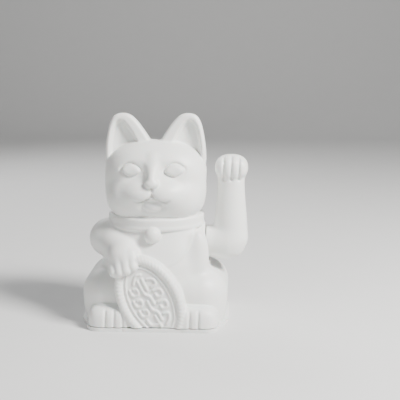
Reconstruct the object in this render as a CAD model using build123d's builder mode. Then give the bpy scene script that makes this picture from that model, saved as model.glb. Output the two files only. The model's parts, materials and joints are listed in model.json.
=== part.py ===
from build123d import *

import os
from math import cos, pi, radians, sin, tan

# Beckoning cat figurine: a hollow two-part moulded figure on a screwed base plate.
# Its raised arm sits on a steel axle that crosses the body, and swings with a magnetic pendulum
# which a coil under it keeps moving. One AA cell in the base plate feeds the coil.
# The cat faces -Y, its raised arm is at +X, and the origin is in the resting face of the base.
# All sizes are in millimetres.

os.makedirs("parts", exist_ok=True)

# ---- driving sizes -------------------------------------------------------------------------------
WALL = 2.2
SHELL_BOTTOM = 3.2

# trunk: height, half width, half depth
TRUNK = (
    (SHELL_BOTTOM, 45.0, 37.5),
    (24.0, 44.0, 37.5),
    (44.0, 37.5, 34.0),
    (58.0, 34.2, 30.0),
    (74.0, 32.0, 26.5),
)
HAUNCH_X, HAUNCH_Y, HAUNCH_TOP_Z = (10.0, 53.2), (-33.0, 37.0), 42.5
HAUNCH_CORNER, HAUNCH_CROWN = 20.0, 15.0
FOOT_X, FOOT_Y, FOOT_TOP_Z = (14.0, 47.0), (-42.5, -14.0), 21.0
FOOT_CORNER, FOOT_CROWN = 10.0, 9.0

HEAD_BOTTOM_Z, HEAD_TOP_Z = 74.0, 131.0
HEAD_HALF_WIDTH, HEAD_HALF_DEPTH = 37.2, 29.0
HEAD_POWER, HEAD_LEVELS, HEAD_CAP = 3.0, 9, 0.96
NECK_RADIUS, NECK_Z = 14.0, (68.0, 84.0)

# outline of the ear from the middle of the head outwards, as X and Z
EAR_ROOT, EAR_SHOULDER, EAR_TIP_END, EAR_FOOT = (0.0, 123.5), (14.0, 145.6), (30.0, 145.6), (35.0, 112.0)
EAR_THICKNESS, EAR_CENTRE_Y = 12.0, -1.0
EAR_ROUND, EAR_RIM, EAR_DISH = 3.6, 3.0, 3.5

COLLAR_Z = (69.5, 78.0)
COLLAR_HALF_WIDTH, COLLAR_HALF_DEPTH, COLLAR_ROUND = 34.8, 28.8, 3.0
BELL_CENTRE, BELL_RADIUS = (0.0, -27.5, 67.0), 6.2

SHOULDER, SHOULDER_RADIUS = (-35.5, -6.0, 58.5), 13.6
WRIST, WRIST_RADIUS = (-20.5, -30.0, 47.0), 9.2
PLAQUE_CENTRE = (0.5, -35.0, 25.0)
PLAQUE_HALF_WIDTH, PLAQUE_HALF_LENGTH = 21.0, 32.0
PLAQUE_PROUD, PLAQUE_ROOT, PLAQUE_ROUND = 6.5, 8.0, 1.6
PLAQUE_TURN, PLAQUE_LEAN = 25.0, 4.0
TAIL_ROOT, TAIL_ROOT_RADIUS = (15.0, 33.5, 11.0), 7.5
TAIL_TIP, TAIL_TIP_RADIUS = (-6.0, 36.0, 31.0), 5.5

SHELL_BOSSES = ((-33.0, -20.0), (33.0, -20.0), (-40.0, 22.0), (40.0, 22.0))
BOSS_RADIUS, BOSS_TOP_Z = 3.6, 18.0
RIB_THICKNESS, RIB_BOTTOM_Z, RIB_REACH = 1.6, 5.0, 51.6
PIN_PLACES = ((-32.5, 104.0), (32.5, 104.0), (-48.5, 22.0), (48.5, 22.0))
PIN_BOSS_RADIUS, PIN_BOSS_LENGTH = 3.0, 16.0
PIN_RADIUS, PIN_LENGTH, PIN_GAP = 1.2, 4.0, 0.1

# base plate, battery bay and battery door
PLATE_TOP, PLATE_MARGIN = 2.4, 0.2
PLAQUE_FOOT_X = (-20.0, 20.0)
SPIGOT_GAP, SPIGOT_WALL, SPIGOT_TOP_Z = 0.4, 1.6, 7.0
BAY_X, BAY_Y, BAY_TOP_Z = 28.6, (11.4, 26.8), 17.8
BAY_WALL, BAY_ROOF = 2.4, 1.4
DOOR_RECESS_X, DOOR_RECESS_Y, DOOR_RECESS_TOP = (-32.0, 31.0), (9.4, 28.8), 2.0
DOOR_GAP, DOOR_Z = 0.3, (0.3, 1.7)
HINGE_X, HINGE_Z, HINGE_RADIUS = -30.7, 1.05, 0.7
HINGE_PIN_RADIUS, HINGE_PIN_LENGTH = 0.45, 1.4
NOTCH_RADIUS = 5.0
GRIP_LINES, GRIP_X, GRIP_PITCH, GRIP_DEPTH = 4, 23.0, 1.6, 0.4
SCREW_RADIUS, SCREW_HEAD_RADIUS, SCREW_HEAD_HEIGHT = 1.1, 2.4, 1.1
SCREW_DROP, SCREW_HEAD_Z = 0.2, (0.3, 1.4)
BASE_SCREW_TIP_Z, INNER_SCREW_TIP_Z = 13.0, 2.0
CROSS_DEPTH, CROSS_REACH, CROSS_WIDTH = 0.7, 1.3, 0.5
POST_RADIUS = 2.6

# cell and contacts
CELL_RADIUS, CELL_LENGTH, NUB_RADIUS, NUB_LENGTH = 7.1, 49.2, 2.7, 1.3
CELL_Y, CELL_Z = 19.1, 10.4
SLEEVE_WALL, SLEEVE_SETBACK = 0.2, 0.5
CONTACT_THICKNESS, CONTACT_HALF_WIDTH, CONTACT_Z = 0.4, 6.0, (3.5, 16.5)
TAB_END_Y, TAB_Z = 6.4, (10.4, 13.4)
SPRING_RADIUS, SPRING_WIRE, SPRING_TURNS = 4.0, 0.4, 3.0

# pivot, pendulum and coil
PIVOT_Z = 56.5
AXLE_RADIUS, RUNNING_GAP, AXLE_X, AXLE_CHAMFER = 1.0, 0.05, (-20.0, 44.0), 0.2
FRAME_X, FRAME_WALL, FRAME_HALF_DEPTH = 14.5, 3.0, 6.0
FRAME_Z = (6.0, 69.0)
FLANGE_REACH, FLANGE_THICKNESS, FLANGE_HALF_DEPTH = 25.0, 2.5, 8.0
FRAME_SCREWS = ((-21.0, -4.8), (21.0, -4.8), (-21.0, 4.8), (21.0, 4.8))
BUSH_RADIUS, BUSH_FLANGE_RADIUS, BUSH_FLANGE = 3.0, 4.0, 1.0
CLIP_RADIUS, CLIP_THICKNESS, CLIP_GAP = 2.6, 0.5, 0.3
HUB_RADIUS, HUB_HALF_LENGTH = 4.5, 4.0
BAR_HALF_THICKNESS, BAR_HALF_WIDTH = 1.5, 4.0
WEIGHT_Z, WEIGHT_RADIUS, WEIGHT_THICKNESS = 33.0, 7.0, 4.5
RIVET_RADIUS, RIVET_HEAD_RADIUS, RIVET_HEAD = 1.25, 2.3, 0.7
MAGNET_RADIUS, MAGNET_Z, CUP_WALL = 5.0, (19.8, 23.8), 1.0
# the horn above the hub meets the frame's stops at the ends of the swing
HORN_TOP_Z, HORN_HALF_WIDTH = 64.8, 1.0
STOP_Y, STOP_BOTTOM_Z = 4.6, 62.0

BOARD_X, BOARD_Y, BOARD_Z = 12.4, (-26.0, 8.6), (6.0, 7.2)
BOARD_SCREWS = ((-9.5, -23.0), (9.5, -23.0))
BOARD_RESTS = ((-9.5, 5.5), (9.5, 5.5))
BOBBIN_TOP_Z, BOBBIN_CORE, BOBBIN_FLANGE_RADIUS, BOBBIN_FLANGE = 16.0, 3.5, 9.0, 1.0
COIL_RADIUS = 8.3
CAPACITOR_XY, CAPACITOR_RADIUS, CAPACITOR_HEIGHT, CAPACITOR_ROUND = (7.0, -15.5), 3.15, 7.5, 0.4
TRANSISTOR_XY, TRANSISTOR_RADIUS, TRANSISTOR_HEIGHT, TRANSISTOR_Z = (-7.0, -15.5), 2.3, 4.5, 9.2
LEG_RADIUS, LEG_PITCH, LEG_REACH, SOLDER_RADIUS = 0.25, 1.27, 4.5, 0.4
RESISTOR_Y, RESISTOR_RADIUS, RESISTOR_HALF_LENGTH = (-20.0, -23.5), 1.0, 3.0

# waving arm
ARM_WALL = 1.6
ARM_STUB_X, ARM_STUB_RADIUS = 36.6, 11.4
FOREARM_X, FOREARM_BOTTOM_Z, PAW_TOP_Z = 54.6, 43.0, 121.0
# forearm and paw between their domed ends: height, radius
FOREARM = ((56.0, 12.1), (62.0, 12.4), (74.0, 11.7), (86.0, 10.6), (97.0, 9.8), (104.0, 10.3), (112.0, 11.8))
# share of a dome's radius that its curve runs on along the tangents at its ends
DOME_PULL = 0.55
ARM_PIN_PLACES = ((58.0, 50.5), (54.6, 84.0), (54.6, 108.0))
ARM_HUB_RADIUS, ARM_HUB_LENGTH, ARM_HUB_FLANGE = 4.0, 6.6, 2.0
# seat that the arm's stub turns against
SEAT_X, SEAT_DEPTH, SEAT_RADIUS = 35.6, 4.0, 14.8
AXLE_HOLE_RADIUS = 3.5

# battery leads: from the contact's tab to the circuit board
LEAD_RADIUS = 0.6
LEAD_ROUTE = (
    (28.4, 5.8, 11.9),
    (28.4, 0.5, 11.9),
    (27.4, -6.0, 12.6),
    (23.0, -12.5, 13.4),
    (17.0, -14.6, 13.6),
    (11.2, -10.6, 12.4),
    (11.2, -10.6, 7.2),
)

# ---- forms that several pieces share -------------------------------------------------------------


def block(x_range, y_range, z_range, corner, crown):
    """A block with rounded upright corners and a rounded crown."""
    (x0, x1), (y0, y1), (z0, z1) = x_range, y_range, z_range
    with BuildPart() as form:
        with BuildSketch(Plane.XY.offset(z0)):
            with Locations(((x0 + x1) / 2, (y0 + y1) / 2)):
                RectangleRounded(x1 - x0, y1 - y0, corner)
        extrude(amount=z1 - z0)
        fillet(form.faces().sort_by(Axis.Z)[-1].edges(), crown)
    return form.part


def slab(x_range, y_range, z_range):
    """A plain box between its limits."""
    (x0, x1), (y0, y1), (z0, z1) = x_range, y_range, z_range
    with BuildPart() as form:
        with Locations(((x0 + x1) / 2, (y0 + y1) / 2, (z0 + z1) / 2)):
            Box(x1 - x0, y1 - y0, z1 - z0)
    return form.part


def rod(axis, centre, radius, span, bore=0.0):
    """A round bar or ring along X, Y or Z, over a span of that axis; centre is its place on the other two."""
    plane = {
        "X": Plane(origin=(span[0], *centre), x_dir=(0, 1, 0), z_dir=(1, 0, 0)),
        "Y": Plane(origin=(centre[0], span[0], centre[1]), x_dir=(1, 0, 0), z_dir=(0, 1, 0)),
        "Z": Plane(origin=(*centre, span[0]), x_dir=(1, 0, 0), z_dir=(0, 0, 1)),
    }[axis]
    with BuildPart() as form:
        with BuildSketch(plane):
            Circle(radius)
            if bore:
                Circle(bore, mode=Mode.SUBTRACT)
        extrude(amount=span[1] - span[0])
    return form.part


def trunk(inset):
    """The body from the base to the neck."""
    with BuildPart() as form:
        for z, half_width, half_depth in TRUNK:
            with BuildSketch(Plane.XY.offset(z)):
                Ellipse(half_width - inset, half_depth - inset)
        loft()
    return form.part


def head(inset):
    """The head without its ears, a superellipse in each upright section."""
    middle = (HEAD_TOP_Z + HEAD_BOTTOM_Z) / 2
    half_height = (HEAD_TOP_Z - HEAD_BOTTOM_Z) / 2 - inset
    with BuildPart() as form:
        for level in range(HEAD_LEVELS):
            share = 2 * level / (HEAD_LEVELS - 1) - 1
            spread = (1 - abs(HEAD_CAP * share) ** HEAD_POWER) ** (1 / HEAD_POWER)
            with BuildSketch(Plane.XY.offset(middle + share * half_height)):
                Ellipse(HEAD_HALF_WIDTH * spread - inset, HEAD_HALF_DEPTH * spread - inset)
        loft()
    return form.part


def haunch(inset):
    """The folded hind leg on the +X side."""
    return block(
        (HAUNCH_X[0], HAUNCH_X[1] - inset),
        (HAUNCH_Y[0] + inset, HAUNCH_Y[1] - inset),
        (SHELL_BOTTOM, HAUNCH_TOP_Z - inset),
        HAUNCH_CORNER - inset,
        HAUNCH_CROWN - inset,
    )


def foot(inset):
    """The hind foot on the +X side, which points forwards."""
    return block(
        (FOOT_X[0] + inset, FOOT_X[1] - inset),
        (FOOT_Y[0] + inset, FOOT_Y[1]),
        (SHELL_BOTTOM, FOOT_TOP_Z - inset),
        FOOT_CORNER - inset,
        FOOT_CROWN - inset,
    )


def figure(inset):
    """The figure's hollow volumes as one solid, with the skin moved inwards by inset."""
    with BuildPart() as form:
        add(trunk(inset))
        add(head(inset))
        add(rod("Z", (0, 0), NECK_RADIUS, NECK_Z))
        for limb in (haunch(inset), foot(inset)):
            add(limb)
            add(mirror(limb, about=Plane.YZ))
    return form.part


def ear():
    """The ear on the +X side, a leaf with a dished front."""
    plane = Plane.XZ.offset(-EAR_CENTRE_Y)
    with BuildPart() as form:
        with BuildSketch(plane) as leaf:
            with BuildLine():
                inner = Line(EAR_ROOT, EAR_SHOULDER)
                tip = TangentArc(inner @ 1, EAR_TIP_END, tangent=inner % 1)
                outer = TangentArc(tip @ 1, EAR_FOOT, tangent=tip % 1)
                Polyline(outer @ 1, (EAR_ROOT[0], EAR_FOOT[1]), inner @ 0)
            make_face()
        extrude(amount=EAR_THICKNESS / 2, both=True)
        flat_edges = form.faces().filter_by(Axis.Y).edges()
        rims = flat_edges.filter_by(lambda edge: edge.center().Z > EAR_FOOT[1] + EAR_RIM)
        fillet(rims, EAR_ROUND)
        with BuildSketch(plane.offset(EAR_THICKNESS / 2)):
            add(leaf.sketch_local)
            offset(amount=-EAR_RIM, mode=Mode.REPLACE)
        extrude(amount=-EAR_DISH, mode=Mode.SUBTRACT)
    return form.part


def tapered_limb(start, start_radius, end, end_radius):
    """A limb with round ends that narrows from start to end, turned about its own axis."""
    direction = Vector(*end) - Vector(*start)
    with BuildPart() as form:
        across = direction.cross(Vector(0, 0, 1))
        with BuildSketch(Plane(origin=start, x_dir=direction, z_dir=across)):
            Circle(start_radius)
            with Locations((direction.length, 0)):
                Circle(end_radius)
            make_hull()
            with Locations((direction.length / 2, -direction.length)):
                Rectangle(4 * direction.length, 2 * direction.length, mode=Mode.SUBTRACT)
        revolve(axis=Axis(start, direction))
    return form.part


def collar():
    """The band round the neck."""
    with BuildPart() as form:
        with BuildSketch(Plane.XY.offset(COLLAR_Z[0])):
            Ellipse(COLLAR_HALF_WIDTH, COLLAR_HALF_DEPTH)
        extrude(amount=COLLAR_Z[1] - COLLAR_Z[0])
        fillet(form.edges(), COLLAR_ROUND)
    return form.part


def plaque():
    """The oval coin that the resting paw holds against the belly, cut off level with the shell's foot."""
    turn, lean = radians(PLAQUE_TURN), radians(PLAQUE_LEAN)
    face = Plane(origin=PLAQUE_CENTRE, x_dir=(cos(turn), 0, sin(turn)), z_dir=(0, -cos(lean), sin(lean)))
    with BuildPart() as form:
        with BuildSketch(face.offset(-PLAQUE_ROOT)):
            Ellipse(PLAQUE_HALF_WIDTH, PLAQUE_HALF_LENGTH)
        extrude(amount=PLAQUE_ROOT + PLAQUE_PROUD)
        fillet(form.edges().sort_by(Axis.Y)[0], PLAQUE_ROUND)
        split(bisect_by=Plane.XY.offset(SHELL_BOTTOM))
    return form.part


# ---- outer shells --------------------------------------------------------------------------------


def footprint(inset):
    """Outline of the figure's open foot, with its edge moved inwards by inset."""
    with BuildSketch() as outline:
        Ellipse(TRUNK[0][1] - inset, TRUNK[0][2] - inset)
        for x_range, y_range, corner in (
            ((HAUNCH_X[0], HAUNCH_X[1] - inset), (HAUNCH_Y[0] + inset, HAUNCH_Y[1] - inset), HAUNCH_CORNER),
            ((FOOT_X[0] + inset, FOOT_X[1] - inset), (FOOT_Y[0] + inset, FOOT_Y[1]), FOOT_CORNER),
        ):
            for side in (-1, 1):
                with Locations((side * sum(x_range) / 2, sum(y_range) / 2)):
                    RectangleRounded(x_range[1] - x_range[0], y_range[1] - y_range[0], corner - inset)
    return outline.sketch


with BuildPart() as skin:
    add(figure(0))
    add(collar())
    add(ear())
    add(mirror(ear(), about=Plane.YZ))
    add(tapered_limb(SHOULDER, SHOULDER_RADIUS, WRIST, WRIST_RADIUS))
    add(plaque())
    add(tapered_limb(TAIL_ROOT, TAIL_ROOT_RADIUS, TAIL_TIP, TAIL_TIP_RADIUS))
    with Locations(BELL_CENTRE):
        Sphere(BELL_RADIUS)
    split(bisect_by=Plane.XY.offset(SHELL_BOTTOM))

with BuildPart() as shell:
    add(skin.part)
    add(figure(WALL), mode=Mode.SUBTRACT)
    for x, y in SHELL_BOSSES:
        outwards = sorted((x, RIB_REACH if x > 0 else -RIB_REACH))
        add(rod("Z", (x, y), BOSS_RADIUS, (SHELL_BOTTOM, BOSS_TOP_Z)))
        add(slab(outwards, (y - RIB_THICKNESS / 2, y + RIB_THICKNESS / 2), (RIB_BOTTOM_Z, BOSS_TOP_Z)))
        add(rod("Z", (x, y), SCREW_RADIUS, (SHELL_BOTTOM, BOSS_TOP_Z - WALL)), mode=Mode.SUBTRACT)
    for x, z in PIN_PLACES:
        add(rod("Y", (x, z), PIN_BOSS_RADIUS, (-PIN_BOSS_LENGTH / 2, PIN_BOSS_LENGTH / 2)))
    add(rod("X", (0, PIVOT_Z), SEAT_RADIUS, (SEAT_X - SEAT_DEPTH, SEAT_X)))
    add(rod("X", (0, PIVOT_Z), SEAT_RADIUS, (SEAT_X, 2 * SEAT_X)), mode=Mode.SUBTRACT)
    add(rod("X", (0, PIVOT_Z), AXLE_HOLE_RADIUS, (0, SEAT_X)), mode=Mode.SUBTRACT)

with BuildPart() as front_shell:
    add(shell.part)
    split(bisect_by=Plane.XZ, keep=Keep.TOP)
    for x, z in PIN_PLACES:
        add(rod("Y", (x, z), PIN_RADIUS, (-PIN_LENGTH, PIN_LENGTH)))

with BuildPart() as rear_shell:
    add(shell.part)
    split(bisect_by=Plane.XZ, keep=Keep.BOTTOM)
    for x, z in PIN_PLACES:
        add(rod("Y", (x, z), PIN_RADIUS + PIN_GAP, (0, PIN_LENGTH + 2 * PIN_GAP)), mode=Mode.SUBTRACT)

# ---- base plate ----------------------------------------------------------------------------------

with BuildPart() as base_plate:
    with BuildSketch():
        add(footprint(-PLATE_MARGIN))
        with Locations(((PLAQUE_FOOT_X[0] + PLAQUE_FOOT_X[1]) / 2, FOOT_Y[0] / 2)):
            Rectangle(PLAQUE_FOOT_X[1] - PLAQUE_FOOT_X[0], -FOOT_Y[0])
    extrude(amount=PLATE_TOP)
    # spigot that centres the shells, notched where their ribs cross it
    with BuildSketch(Plane.XY.offset(PLATE_TOP)):
        add(footprint(WALL + SPIGOT_GAP))
        add(footprint(WALL + SPIGOT_GAP + SPIGOT_WALL), mode=Mode.SUBTRACT)
    extrude(amount=SPIGOT_TOP_Z - PLATE_TOP)
    notch = RIB_THICKNESS / 2 + SPIGOT_GAP
    for y in sorted({place[1] for place in SHELL_BOSSES}):
        gap = slab((-HAUNCH_X[1], HAUNCH_X[1]), (y - notch, y + notch), (PLATE_TOP, SPIGOT_TOP_Z))
        add(gap, mode=Mode.SUBTRACT)
    # battery bay
    bay_y = (BAY_Y[0] - BAY_WALL, BAY_Y[1] + BAY_WALL)
    add(slab((-BAY_X - BAY_WALL, BAY_X + BAY_WALL), bay_y, (0, BAY_TOP_Z + BAY_ROOF)))
    add(slab((-BAY_X, BAY_X), BAY_Y, (0, BAY_TOP_Z)), mode=Mode.SUBTRACT)
    add(slab(DOOR_RECESS_X, DOOR_RECESS_Y, (0, DOOR_RECESS_TOP)), mode=Mode.SUBTRACT)
    add(rod("Z", (DOOR_RECESS_X[1], CELL_Y), NOTCH_RADIUS, (0, DOOR_RECESS_TOP)), mode=Mode.SUBTRACT)
    hinge_hole = (DOOR_RECESS_Y[0] - HINGE_PIN_LENGTH, DOOR_RECESS_Y[1] + HINGE_PIN_LENGTH)
    add(rod("Y", (HINGE_X, HINGE_Z), HINGE_PIN_RADIUS + RUNNING_GAP, hinge_hole), mode=Mode.SUBTRACT)
    for side in (-1, 1):
        tab_x = sorted((side * BAY_X, side * (BAY_X - CONTACT_THICKNESS)))
        add(slab(tab_x, (TAB_END_Y, BAY_Y[0]), TAB_Z), mode=Mode.SUBTRACT)
    # pads under the shell bosses, posts for the pivot frame and for the circuit board
    for x, y in SHELL_BOSSES:
        add(rod("Z", (x, y), BOSS_RADIUS, (PLATE_TOP, SHELL_BOTTOM)))
        add(rod("Z", (x, y), SCREW_RADIUS + SPIGOT_GAP / 2, (0, SHELL_BOTTOM)), mode=Mode.SUBTRACT)
        add(rod("Z", (x, y), SCREW_HEAD_RADIUS + SCREW_DROP, (0, SCREW_HEAD_Z[1])), mode=Mode.SUBTRACT)
    for x, y in FRAME_SCREWS:
        add(rod("Z", (x, y), POST_RADIUS, (PLATE_TOP, FRAME_Z[0])))
        add(rod("Z", (x, y), SCREW_RADIUS, (SCREW_HEAD_Z[1], FRAME_Z[0])), mode=Mode.SUBTRACT)
    for x, y in BOARD_SCREWS + BOARD_RESTS:
        add(rod("Z", (x, y), POST_RADIUS, (PLATE_TOP, BOARD_Z[0])))
    for x, y in BOARD_SCREWS:
        add(rod("Z", (x, y), SCREW_RADIUS, (SCREW_HEAD_Z[1], BOARD_Z[0])), mode=Mode.SUBTRACT)

with BuildPart() as battery_door:
    door_y = (DOOR_RECESS_Y[0] + DOOR_GAP, DOOR_RECESS_Y[1] - DOOR_GAP)
    add(slab((HINGE_X, DOOR_RECESS_X[1] - DOOR_GAP), door_y, DOOR_Z))
    add(rod("Y", (HINGE_X, HINGE_Z), HINGE_RADIUS, door_y))
    pin_y = (DOOR_RECESS_Y[0] - HINGE_PIN_LENGTH + DOOR_GAP, DOOR_RECESS_Y[1] + HINGE_PIN_LENGTH - DOOR_GAP)
    add(rod("Y", (HINGE_X, HINGE_Z), HINGE_PIN_RADIUS, pin_y))
    # grip lines moulded into the free end
    for line in range(GRIP_LINES):
        x = GRIP_X + line * GRIP_PITCH
        grip_y = (CELL_Y - NOTCH_RADIUS, CELL_Y + NOTCH_RADIUS)
        add(slab((x, x + GRIP_PITCH / 2), grip_y, (DOOR_Z[0], DOOR_Z[0] + GRIP_DEPTH)), mode=Mode.SUBTRACT)

# ---- battery and contacts ------------------------------------------------------------------------

cell_end_x = BAY_X - CONTACT_THICKNESS - NUB_LENGTH
cell_start_x = cell_end_x - CELL_LENGTH

with BuildPart() as battery_cell:
    add(rod("X", (CELL_Y, CELL_Z), CELL_RADIUS - SLEEVE_WALL, (cell_start_x, cell_end_x)))
    add(rod("X", (CELL_Y, CELL_Z), NUB_RADIUS, (cell_end_x, cell_end_x + NUB_LENGTH)))

with BuildPart() as battery_sleeve:
    sleeve_span = (cell_start_x + SLEEVE_SETBACK, cell_end_x - SLEEVE_SETBACK)
    add(rod("X", (CELL_Y, CELL_Z), CELL_RADIUS, sleeve_span, CELL_RADIUS - SLEEVE_WALL))


def contact(side):
    """Flat contact at one end of the bay, with a tab through the bay's wall."""
    x_range = sorted((side * BAY_X, side * (BAY_X - CONTACT_THICKNESS)))
    with BuildPart() as form:
        add(slab(x_range, (CELL_Y - CONTACT_HALF_WIDTH, CELL_Y + CONTACT_HALF_WIDTH), CONTACT_Z))
        add(slab(x_range, (TAB_END_Y, CELL_Y), TAB_Z))
    return form.part


with BuildPart() as positive_contact:
    add(contact(1))

with BuildPart() as negative_contact:
    add(contact(-1))

spring_start_x = -BAY_X + CONTACT_THICKNESS + SPRING_WIRE
spring_length = cell_start_x - SPRING_WIRE - spring_start_x
with BuildPart() as contact_spring:
    with BuildLine() as spring_line:
        Helix(
            pitch=spring_length / SPRING_TURNS,
            height=spring_length,
            radius=SPRING_RADIUS,
            center=(spring_start_x, CELL_Y, CELL_Z),
            direction=(1, 0, 0),
        )
    with BuildSketch(Plane(origin=spring_line.line @ 0, z_dir=spring_line.line % 0)):
        Circle(SPRING_WIRE)
    sweep(is_frenet=True)

# ---- pivot, pendulum and coil --------------------------------------------------------------------

with BuildPart() as pivot_frame:
    frame_end = FRAME_X + FRAME_WALL / 2
    frame_y = (-FRAME_HALF_DEPTH, FRAME_HALF_DEPTH)
    flange_y = (-FLANGE_HALF_DEPTH, FLANGE_HALF_DEPTH)
    for side in (-1, 1):
        upright_x = sorted((side * (frame_end - FRAME_WALL), side * frame_end))
        add(slab(upright_x, frame_y, FRAME_Z))
        flange_x = sorted((side * (frame_end - FRAME_WALL), side * FLANGE_REACH))
        add(slab(flange_x, flange_y, (FRAME_Z[0], FRAME_Z[0] + FLANGE_THICKNESS)))
        stop_y = sorted((side * STOP_Y, side * FRAME_HALF_DEPTH))
        add(slab((-HUB_HALF_LENGTH, HUB_HALF_LENGTH), stop_y, (STOP_BOTTOM_Z, FRAME_Z[1])))
    add(slab((-frame_end, frame_end), frame_y, (FRAME_Z[1] - FRAME_WALL, FRAME_Z[1])))
    add(rod("X", (0, PIVOT_Z), BUSH_RADIUS, (-FLANGE_REACH, FLANGE_REACH)), mode=Mode.SUBTRACT)
    for x, y in FRAME_SCREWS:
        add(rod("Z", (x, y), SCREW_RADIUS + SPIGOT_GAP / 2, (0, 2 * FRAME_Z[0])), mode=Mode.SUBTRACT)


def bearing_bush(side):
    """Flanged plain bush in one upright."""
    inner, outer, flange = side * (frame_end - FRAME_WALL), side * frame_end, side * (frame_end + BUSH_FLANGE)
    bore = AXLE_RADIUS + RUNNING_GAP
    with BuildPart() as form:
        add(rod("X", (0, PIVOT_Z), BUSH_RADIUS, sorted((inner, outer)), bore))
        add(rod("X", (0, PIVOT_Z), BUSH_FLANGE_RADIUS, sorted((outer, flange)), bore))
    return form.part


with BuildPart() as bearing_bush_left:
    add(bearing_bush(1))

with BuildPart() as bearing_bush_right:
    add(bearing_bush(-1))

with BuildPart() as axle:
    add(rod("X", (0, PIVOT_Z), AXLE_RADIUS, AXLE_X))
    chamfer(axle.edges().filter_by(GeomType.CIRCLE), AXLE_CHAMFER)

with BuildPart() as retaining_clips:
    for side in (-1, 1):
        start = frame_end + BUSH_FLANGE + CLIP_GAP
        clip_span = sorted((side * start, side * (start + CLIP_THICKNESS)))
        add(rod("X", (0, PIVOT_Z), CLIP_RADIUS, clip_span, AXLE_RADIUS))
        mouth = slab(clip_span, (-AXLE_RADIUS, AXLE_RADIUS), (PIVOT_Z - CLIP_RADIUS, PIVOT_Z))
        add(mouth, mode=Mode.SUBTRACT)

with BuildPart() as pendulum_bar:
    add(rod("X", (0, PIVOT_Z), HUB_RADIUS, (-HUB_HALF_LENGTH, HUB_HALF_LENGTH)))
    add(
        slab(
            (-BAR_HALF_THICKNESS, BAR_HALF_THICKNESS),
            (-BAR_HALF_WIDTH, BAR_HALF_WIDTH),
            (MAGNET_Z[1] + CUP_WALL / 2, PIVOT_Z),
        )
    )
    add(
        slab(
            (-BAR_HALF_THICKNESS, BAR_HALF_THICKNESS),
            (-HORN_HALF_WIDTH, HORN_HALF_WIDTH),
            (PIVOT_Z, HORN_TOP_Z),
        )
    )
    add(rod("Z", (0, 0), MAGNET_RADIUS + CUP_WALL, (MAGNET_Z[0], MAGNET_Z[1] + CUP_WALL)))
    add(rod("Z", (0, 0), MAGNET_RADIUS, MAGNET_Z), mode=Mode.SUBTRACT)
    add(rod("X", (0, PIVOT_Z), AXLE_RADIUS, (-HUB_HALF_LENGTH, HUB_HALF_LENGTH)), mode=Mode.SUBTRACT)
    add(rod("X", (0, WEIGHT_Z), RIVET_RADIUS, (-HUB_HALF_LENGTH, HUB_HALF_LENGTH)), mode=Mode.SUBTRACT)

weight_end = BAR_HALF_THICKNESS + WEIGHT_THICKNESS
with BuildPart() as counterweights:
    for side in (-1, 1):
        span = sorted((side * BAR_HALF_THICKNESS, side * weight_end))
        add(rod("X", (0, WEIGHT_Z), WEIGHT_RADIUS, span, RIVET_RADIUS))

with BuildPart() as weight_rivet:
    add(rod("X", (0, WEIGHT_Z), RIVET_RADIUS, (-weight_end, weight_end)))
    for side in (-1, 1):
        head_span = sorted((side * weight_end, side * (weight_end + RIVET_HEAD)))
        add(rod("X", (0, WEIGHT_Z), RIVET_HEAD_RADIUS, head_span))

with BuildPart() as pendulum_magnet:
    add(rod("Z", (0, 0), MAGNET_RADIUS, MAGNET_Z))

with BuildPart() as coil_bobbin:
    add(rod("Z", (0, 0), BOBBIN_CORE, (BOARD_Z[1], BOBBIN_TOP_Z)))
    add(rod("Z", (0, 0), BOBBIN_FLANGE_RADIUS, (BOARD_Z[1], BOARD_Z[1] + BOBBIN_FLANGE)))
    add(rod("Z", (0, 0), BOBBIN_FLANGE_RADIUS, (BOBBIN_TOP_Z - BOBBIN_FLANGE, BOBBIN_TOP_Z)))

with BuildPart() as drive_coil:
    coil_span = (BOARD_Z[1] + BOBBIN_FLANGE, BOBBIN_TOP_Z - BOBBIN_FLANGE)
    add(rod("Z", (0, 0), COIL_RADIUS, coil_span, BOBBIN_CORE))

with BuildPart() as circuit_board:
    add(slab((-BOARD_X, BOARD_X), BOARD_Y, BOARD_Z))
    for x, y in BOARD_SCREWS:
        add(rod("Z", (x, y), SCREW_RADIUS + SPIGOT_GAP / 2, BOARD_Z), mode=Mode.SUBTRACT)

with BuildPart() as capacitor:
    add(rod("Z", CAPACITOR_XY, CAPACITOR_RADIUS, (BOARD_Z[1], BOARD_Z[1] + CAPACITOR_HEIGHT)))
    fillet(capacitor.edges().group_by(Axis.Z)[-1], CAPACITOR_ROUND)

with BuildPart() as transistor:
    add(rod("Z", TRANSISTOR_XY, TRANSISTOR_RADIUS, (TRANSISTOR_Z, TRANSISTOR_Z + TRANSISTOR_HEIGHT)))
    flat_y = (TRANSISTOR_XY[1] + TRANSISTOR_RADIUS / 2, TRANSISTOR_XY[1] + TRANSISTOR_RADIUS)
    flat_x = (TRANSISTOR_XY[0] - TRANSISTOR_RADIUS, TRANSISTOR_XY[0] + TRANSISTOR_RADIUS)
    add(slab(flat_x, flat_y, (TRANSISTOR_Z, TRANSISTOR_Z + TRANSISTOR_HEIGHT)), mode=Mode.SUBTRACT)
    for leg in (-1, 0, 1):
        leg_xy = (TRANSISTOR_XY[0] + leg * LEG_PITCH, TRANSISTOR_XY[1])
        add(rod("Z", leg_xy, LEG_RADIUS, (BOARD_Z[1], TRANSISTOR_Z)))

with BuildPart() as resistors:
    for y in RESISTOR_Y:
        axis_z = BOARD_Z[1] + RESISTOR_RADIUS + LEG_RADIUS
        add(rod("X", (y, axis_z), RESISTOR_RADIUS, (-RESISTOR_HALF_LENGTH, RESISTOR_HALF_LENGTH)))
        add(rod("X", (y, axis_z), LEG_RADIUS, (-LEG_REACH, LEG_REACH)))
        for side in (-1, 1):
            leg_x = side * (LEG_REACH - 2 * LEG_RADIUS)
            add(rod("Z", (leg_x, y), SOLDER_RADIUS, (BOARD_Z[1], axis_z + SOLDER_RADIUS)))

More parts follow.
